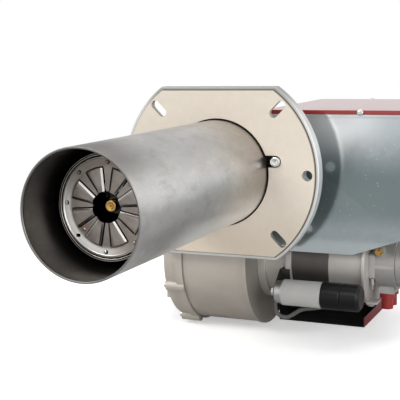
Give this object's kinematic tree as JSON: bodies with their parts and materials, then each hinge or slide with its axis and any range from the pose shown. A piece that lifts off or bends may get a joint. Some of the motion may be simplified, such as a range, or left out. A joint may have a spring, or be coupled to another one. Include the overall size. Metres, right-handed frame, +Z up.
{
  "type": "oil burner",
  "caption": "Forced-draught oil burner: long steel blast tube with a slotted diffuser disc, square-round flange, fan scroll, motor, pump and a galvanised box with a red lid.",
  "frame": {"origin": "centre of the gasket's boiler face on the blast tube's axis", "axes": "-Y along the blast tube towards the boiler, +X towards the motor and pump, +Z up"},
  "size_m": [0.3989, 0.685, 0.3494],
  "materials": {
    "tube_steel": "brushed stainless sheet, spun",
    "gasket_fibre": "pale ceramic fibre board, matt",
    "cast_alu": "die cast, fine grain",
    "flange_alu": "die cast, bright",
    "bar_steel": "ground round bar",
    "screw_steel": "zinc plated",
    "disc_steel": "pressed stainless sheet",
    "copper": "copper rivet",
    "brass": "turned brass",
    "dark_steel": "phosphated",
    "ceramic": "glazed ceramic",
    "wheel_steel": "galvanised sheet",
    "stator_paint": "dark laminated core",
    "bell_alu": "die cast",
    "can_alu": "drawn can, satin",
    "black_plastic": "moulded black",
    "red_plastic": "moulded red",
    "pump_alu": "die cast",
    "galvanised": "galvanised sheet with spangle",
    "red_paint": "gloss red powder coat",
    "grey_plastic": "moulded grey",
    "clear_glass": "clear pane",
    "bronze": "sintered bronze",
    "lead_grey": "grey cable sheath",
    "button_red": "moulded red"
  },
  "bodies": {
    "flange": {"mounting_flange": "flange_alu", "flange_gasket": "gasket_fibre", "blast_tube": "tube_steel", "tube_screws": "screw_steel", "slide_bars": "bar_steel", "slide_bar_screws": "screw_steel"},
    "head": {"diffuser_disc": "disc_steel", "disc_rivets": "copper", "disc_ring": "disc_steel", "head_spider": "dark_steel", "oil_nozzle": "brass", "nozzle_holder": "dark_steel", "nozzle_line": "bar_steel", "electrode_insulators": "ceramic", "electrode_rods": "dark_steel", "electrode_clamp": "dark_steel"},
    "fan_unit": {"cast_body": "cast_alu", "fan_cover": "cast_alu", "body_screws": "screw_steel", "inlet_cone": "wheel_steel", "motor_neck": "bell_alu", "motor_stator": "stator_paint", "motor_end_bell": "bell_alu", "capacitor_can": "can_alu", "capacitor_cap": "black_plastic", "capacitor_nut": "screw_steel", "capacitor_bracket": "dark_steel", "pump_plate": "bell_alu", "pump_body": "pump_alu", "pump_cover": "pump_alu", "pump_cover_screws": "screw_steel", "pump_fittings": "brass", "port_plugs": "red_plastic", "solenoid_coil": "black_plastic", "electric_box": "galvanised", "control_base": "grey_plastic", "control_box": "black_plastic", "switch_frame": "black_plastic", "ignition_transformer": "grey_plastic", "terminal_strip": "grey_plastic", "cable_glands": "grey_plastic", "rear_plate": "cast_alu", "window_glass": "clear_glass", "line_gland": "brass", "flame_sensor": "black_plastic", "intake_box": "cast_alu", "intake_grille": "wheel_steel", "damper_scale": "can_alu", "slide_bushes": "bronze", "delivery_pipe": "copper", "motor_lead": "lead_grey"},
    "fan_rotor": {"fan_wheel": "wheel_steel", "motor_shaft": "bar_steel", "pump_coupling": "grey_plastic"},
    "cover": {"cover_lid": "red_paint", "cover_lid_screws": "screw_steel"},
    "reset": {"reset_button": "button_red"},
    "switch": {"power_switch": "black_plastic"},
    "sight_flap": {"window_flap": "wheel_steel"},
    "damper": {"damper_flap": "wheel_steel"}
  },
  "joints": [
    {"name": "service_slide", "type": "slide", "parent": "flange", "child": "fan_unit", "axis": [0, 1, 0], "range_m": [0, 0.2]},
    {"name": "head_adjust", "type": "slide", "parent": "fan_unit", "child": "head", "axis": [0, -1, 0], "range_m": [-0.008, 0.008]},
    {"name": "fan_spin", "type": "hinge", "parent": "fan_unit", "child": "fan_rotor", "pos_m": [0, 0.128, -0.133], "axis": [1, 0, 0], "continuous": true},
    {"name": "damper_turn", "type": "hinge", "parent": "fan_unit", "child": "damper", "pos_m": [-0.1225, 0.196, -0.133], "axis": [0, 0, 1], "range_deg": [-75, 0]},
    {"name": "cover_lift", "type": "slide", "parent": "fan_unit", "child": "cover", "axis": [0, 0, 1], "range_m": [0, 0.08]},
    {"name": "reset_press", "type": "slide", "parent": "fan_unit", "child": "reset", "axis": [0, -1, 0], "range_m": [0, 0.0025], "stiffness_N_per_m": 400, "springref_m": -0.002},
    {"name": "switch_rock", "type": "hinge", "parent": "fan_unit", "child": "switch", "pos_m": [0.126, 0.3175, 0.006], "axis": [1, 0, 0], "range_deg": [-12, 0]},
    {"name": "window_flap_turn", "type": "hinge", "parent": "fan_unit", "child": "sight_flap", "pos_m": [-0.034, 0.222, 0.041], "axis": [0, 1, 0], "range_deg": [-75, 75]}
  ]
}
